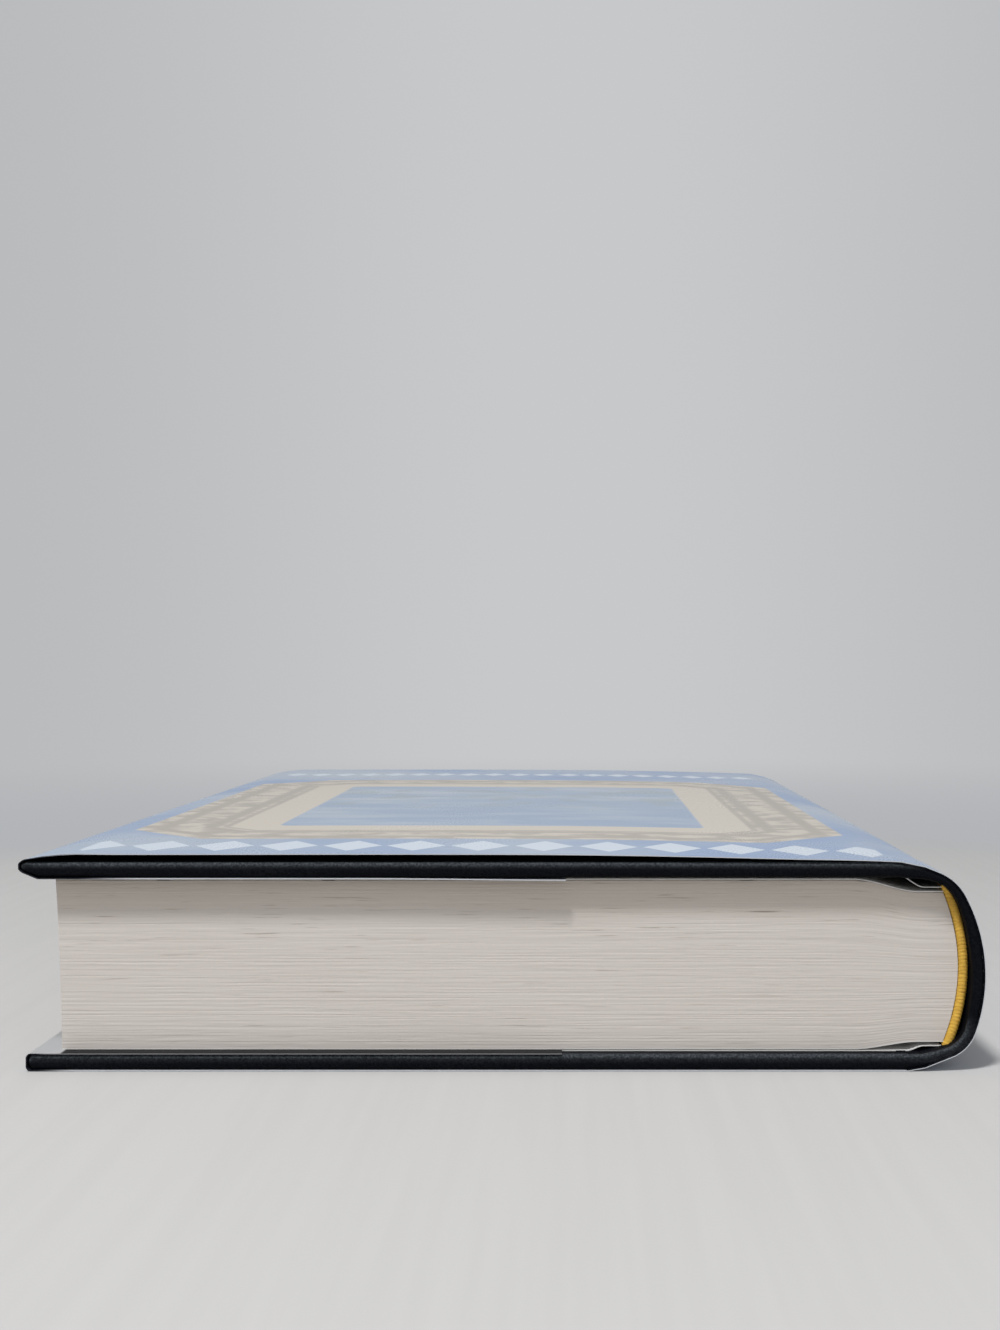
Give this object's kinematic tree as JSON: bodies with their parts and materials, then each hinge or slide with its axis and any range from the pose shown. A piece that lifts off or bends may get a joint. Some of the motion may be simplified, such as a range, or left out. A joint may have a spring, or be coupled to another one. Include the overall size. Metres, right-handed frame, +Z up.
{
  "type": "hardcover book",
  "caption": "Hardcover book with a rounded spine and a loose paper jacket; both covers open on the joints beside the spine.",
  "frame": {"origin": "middle of the footprint, on the surface that the back cover lies on", "axes": "+Z up through the leaves from the back cover to the front cover, +X towards the spine, +Y from the head of the book to its tail"},
  "size_m": [0.166, 0.2414, 0.0375],
  "materials": {
    "jacket_print": "coated paper, satin",
    "cover_paper": "grained covering paper, low gloss",
    "grey_board": "raw board",
    "leaves": "uncoated book paper, cut edges",
    "endpaper": "uncoated smooth paper",
    "headband": "woven cotton band",
    "gauze": "open starched gauze",
    "kraft": "brown lining paper",
    "spine_card": "thin grey card"
  },
  "bodies": {
    "back_cover": {"back_board": "grey_board", "back_cover_cloth": "cover_paper", "back_pastedown": "endpaper", "jacket_back": "jacket_print"},
    "book_block": {"text_block": "leaves", "front_flyleaf": "endpaper", "back_flyleaf": "endpaper", "head_band": "headband", "tail_band": "headband", "spine_mull": "gauze", "spine_lining": "kraft", "spine_inlay": "spine_card", "spine_cloth": "cover_paper", "jacket_spine": "jacket_print"},
    "front_cover": {"front_board": "grey_board", "front_cover_cloth": "cover_paper", "front_pastedown": "endpaper", "jacket_front": "jacket_print"}
  },
  "joints": [
    {"name": "front_cover_hinge", "type": "hinge", "parent": "book_block", "child": "front_cover", "pos_m": [0.0726, 0, 0.03515], "axis": [0, 1, 0], "range_deg": [0, 180]},
    {"name": "back_cover_hinge", "type": "hinge", "parent": "back_cover", "child": "book_block", "pos_m": [0.0726, 0, 0.0005], "axis": [0, 1, 0], "range_deg": [0, 180]}
  ]
}
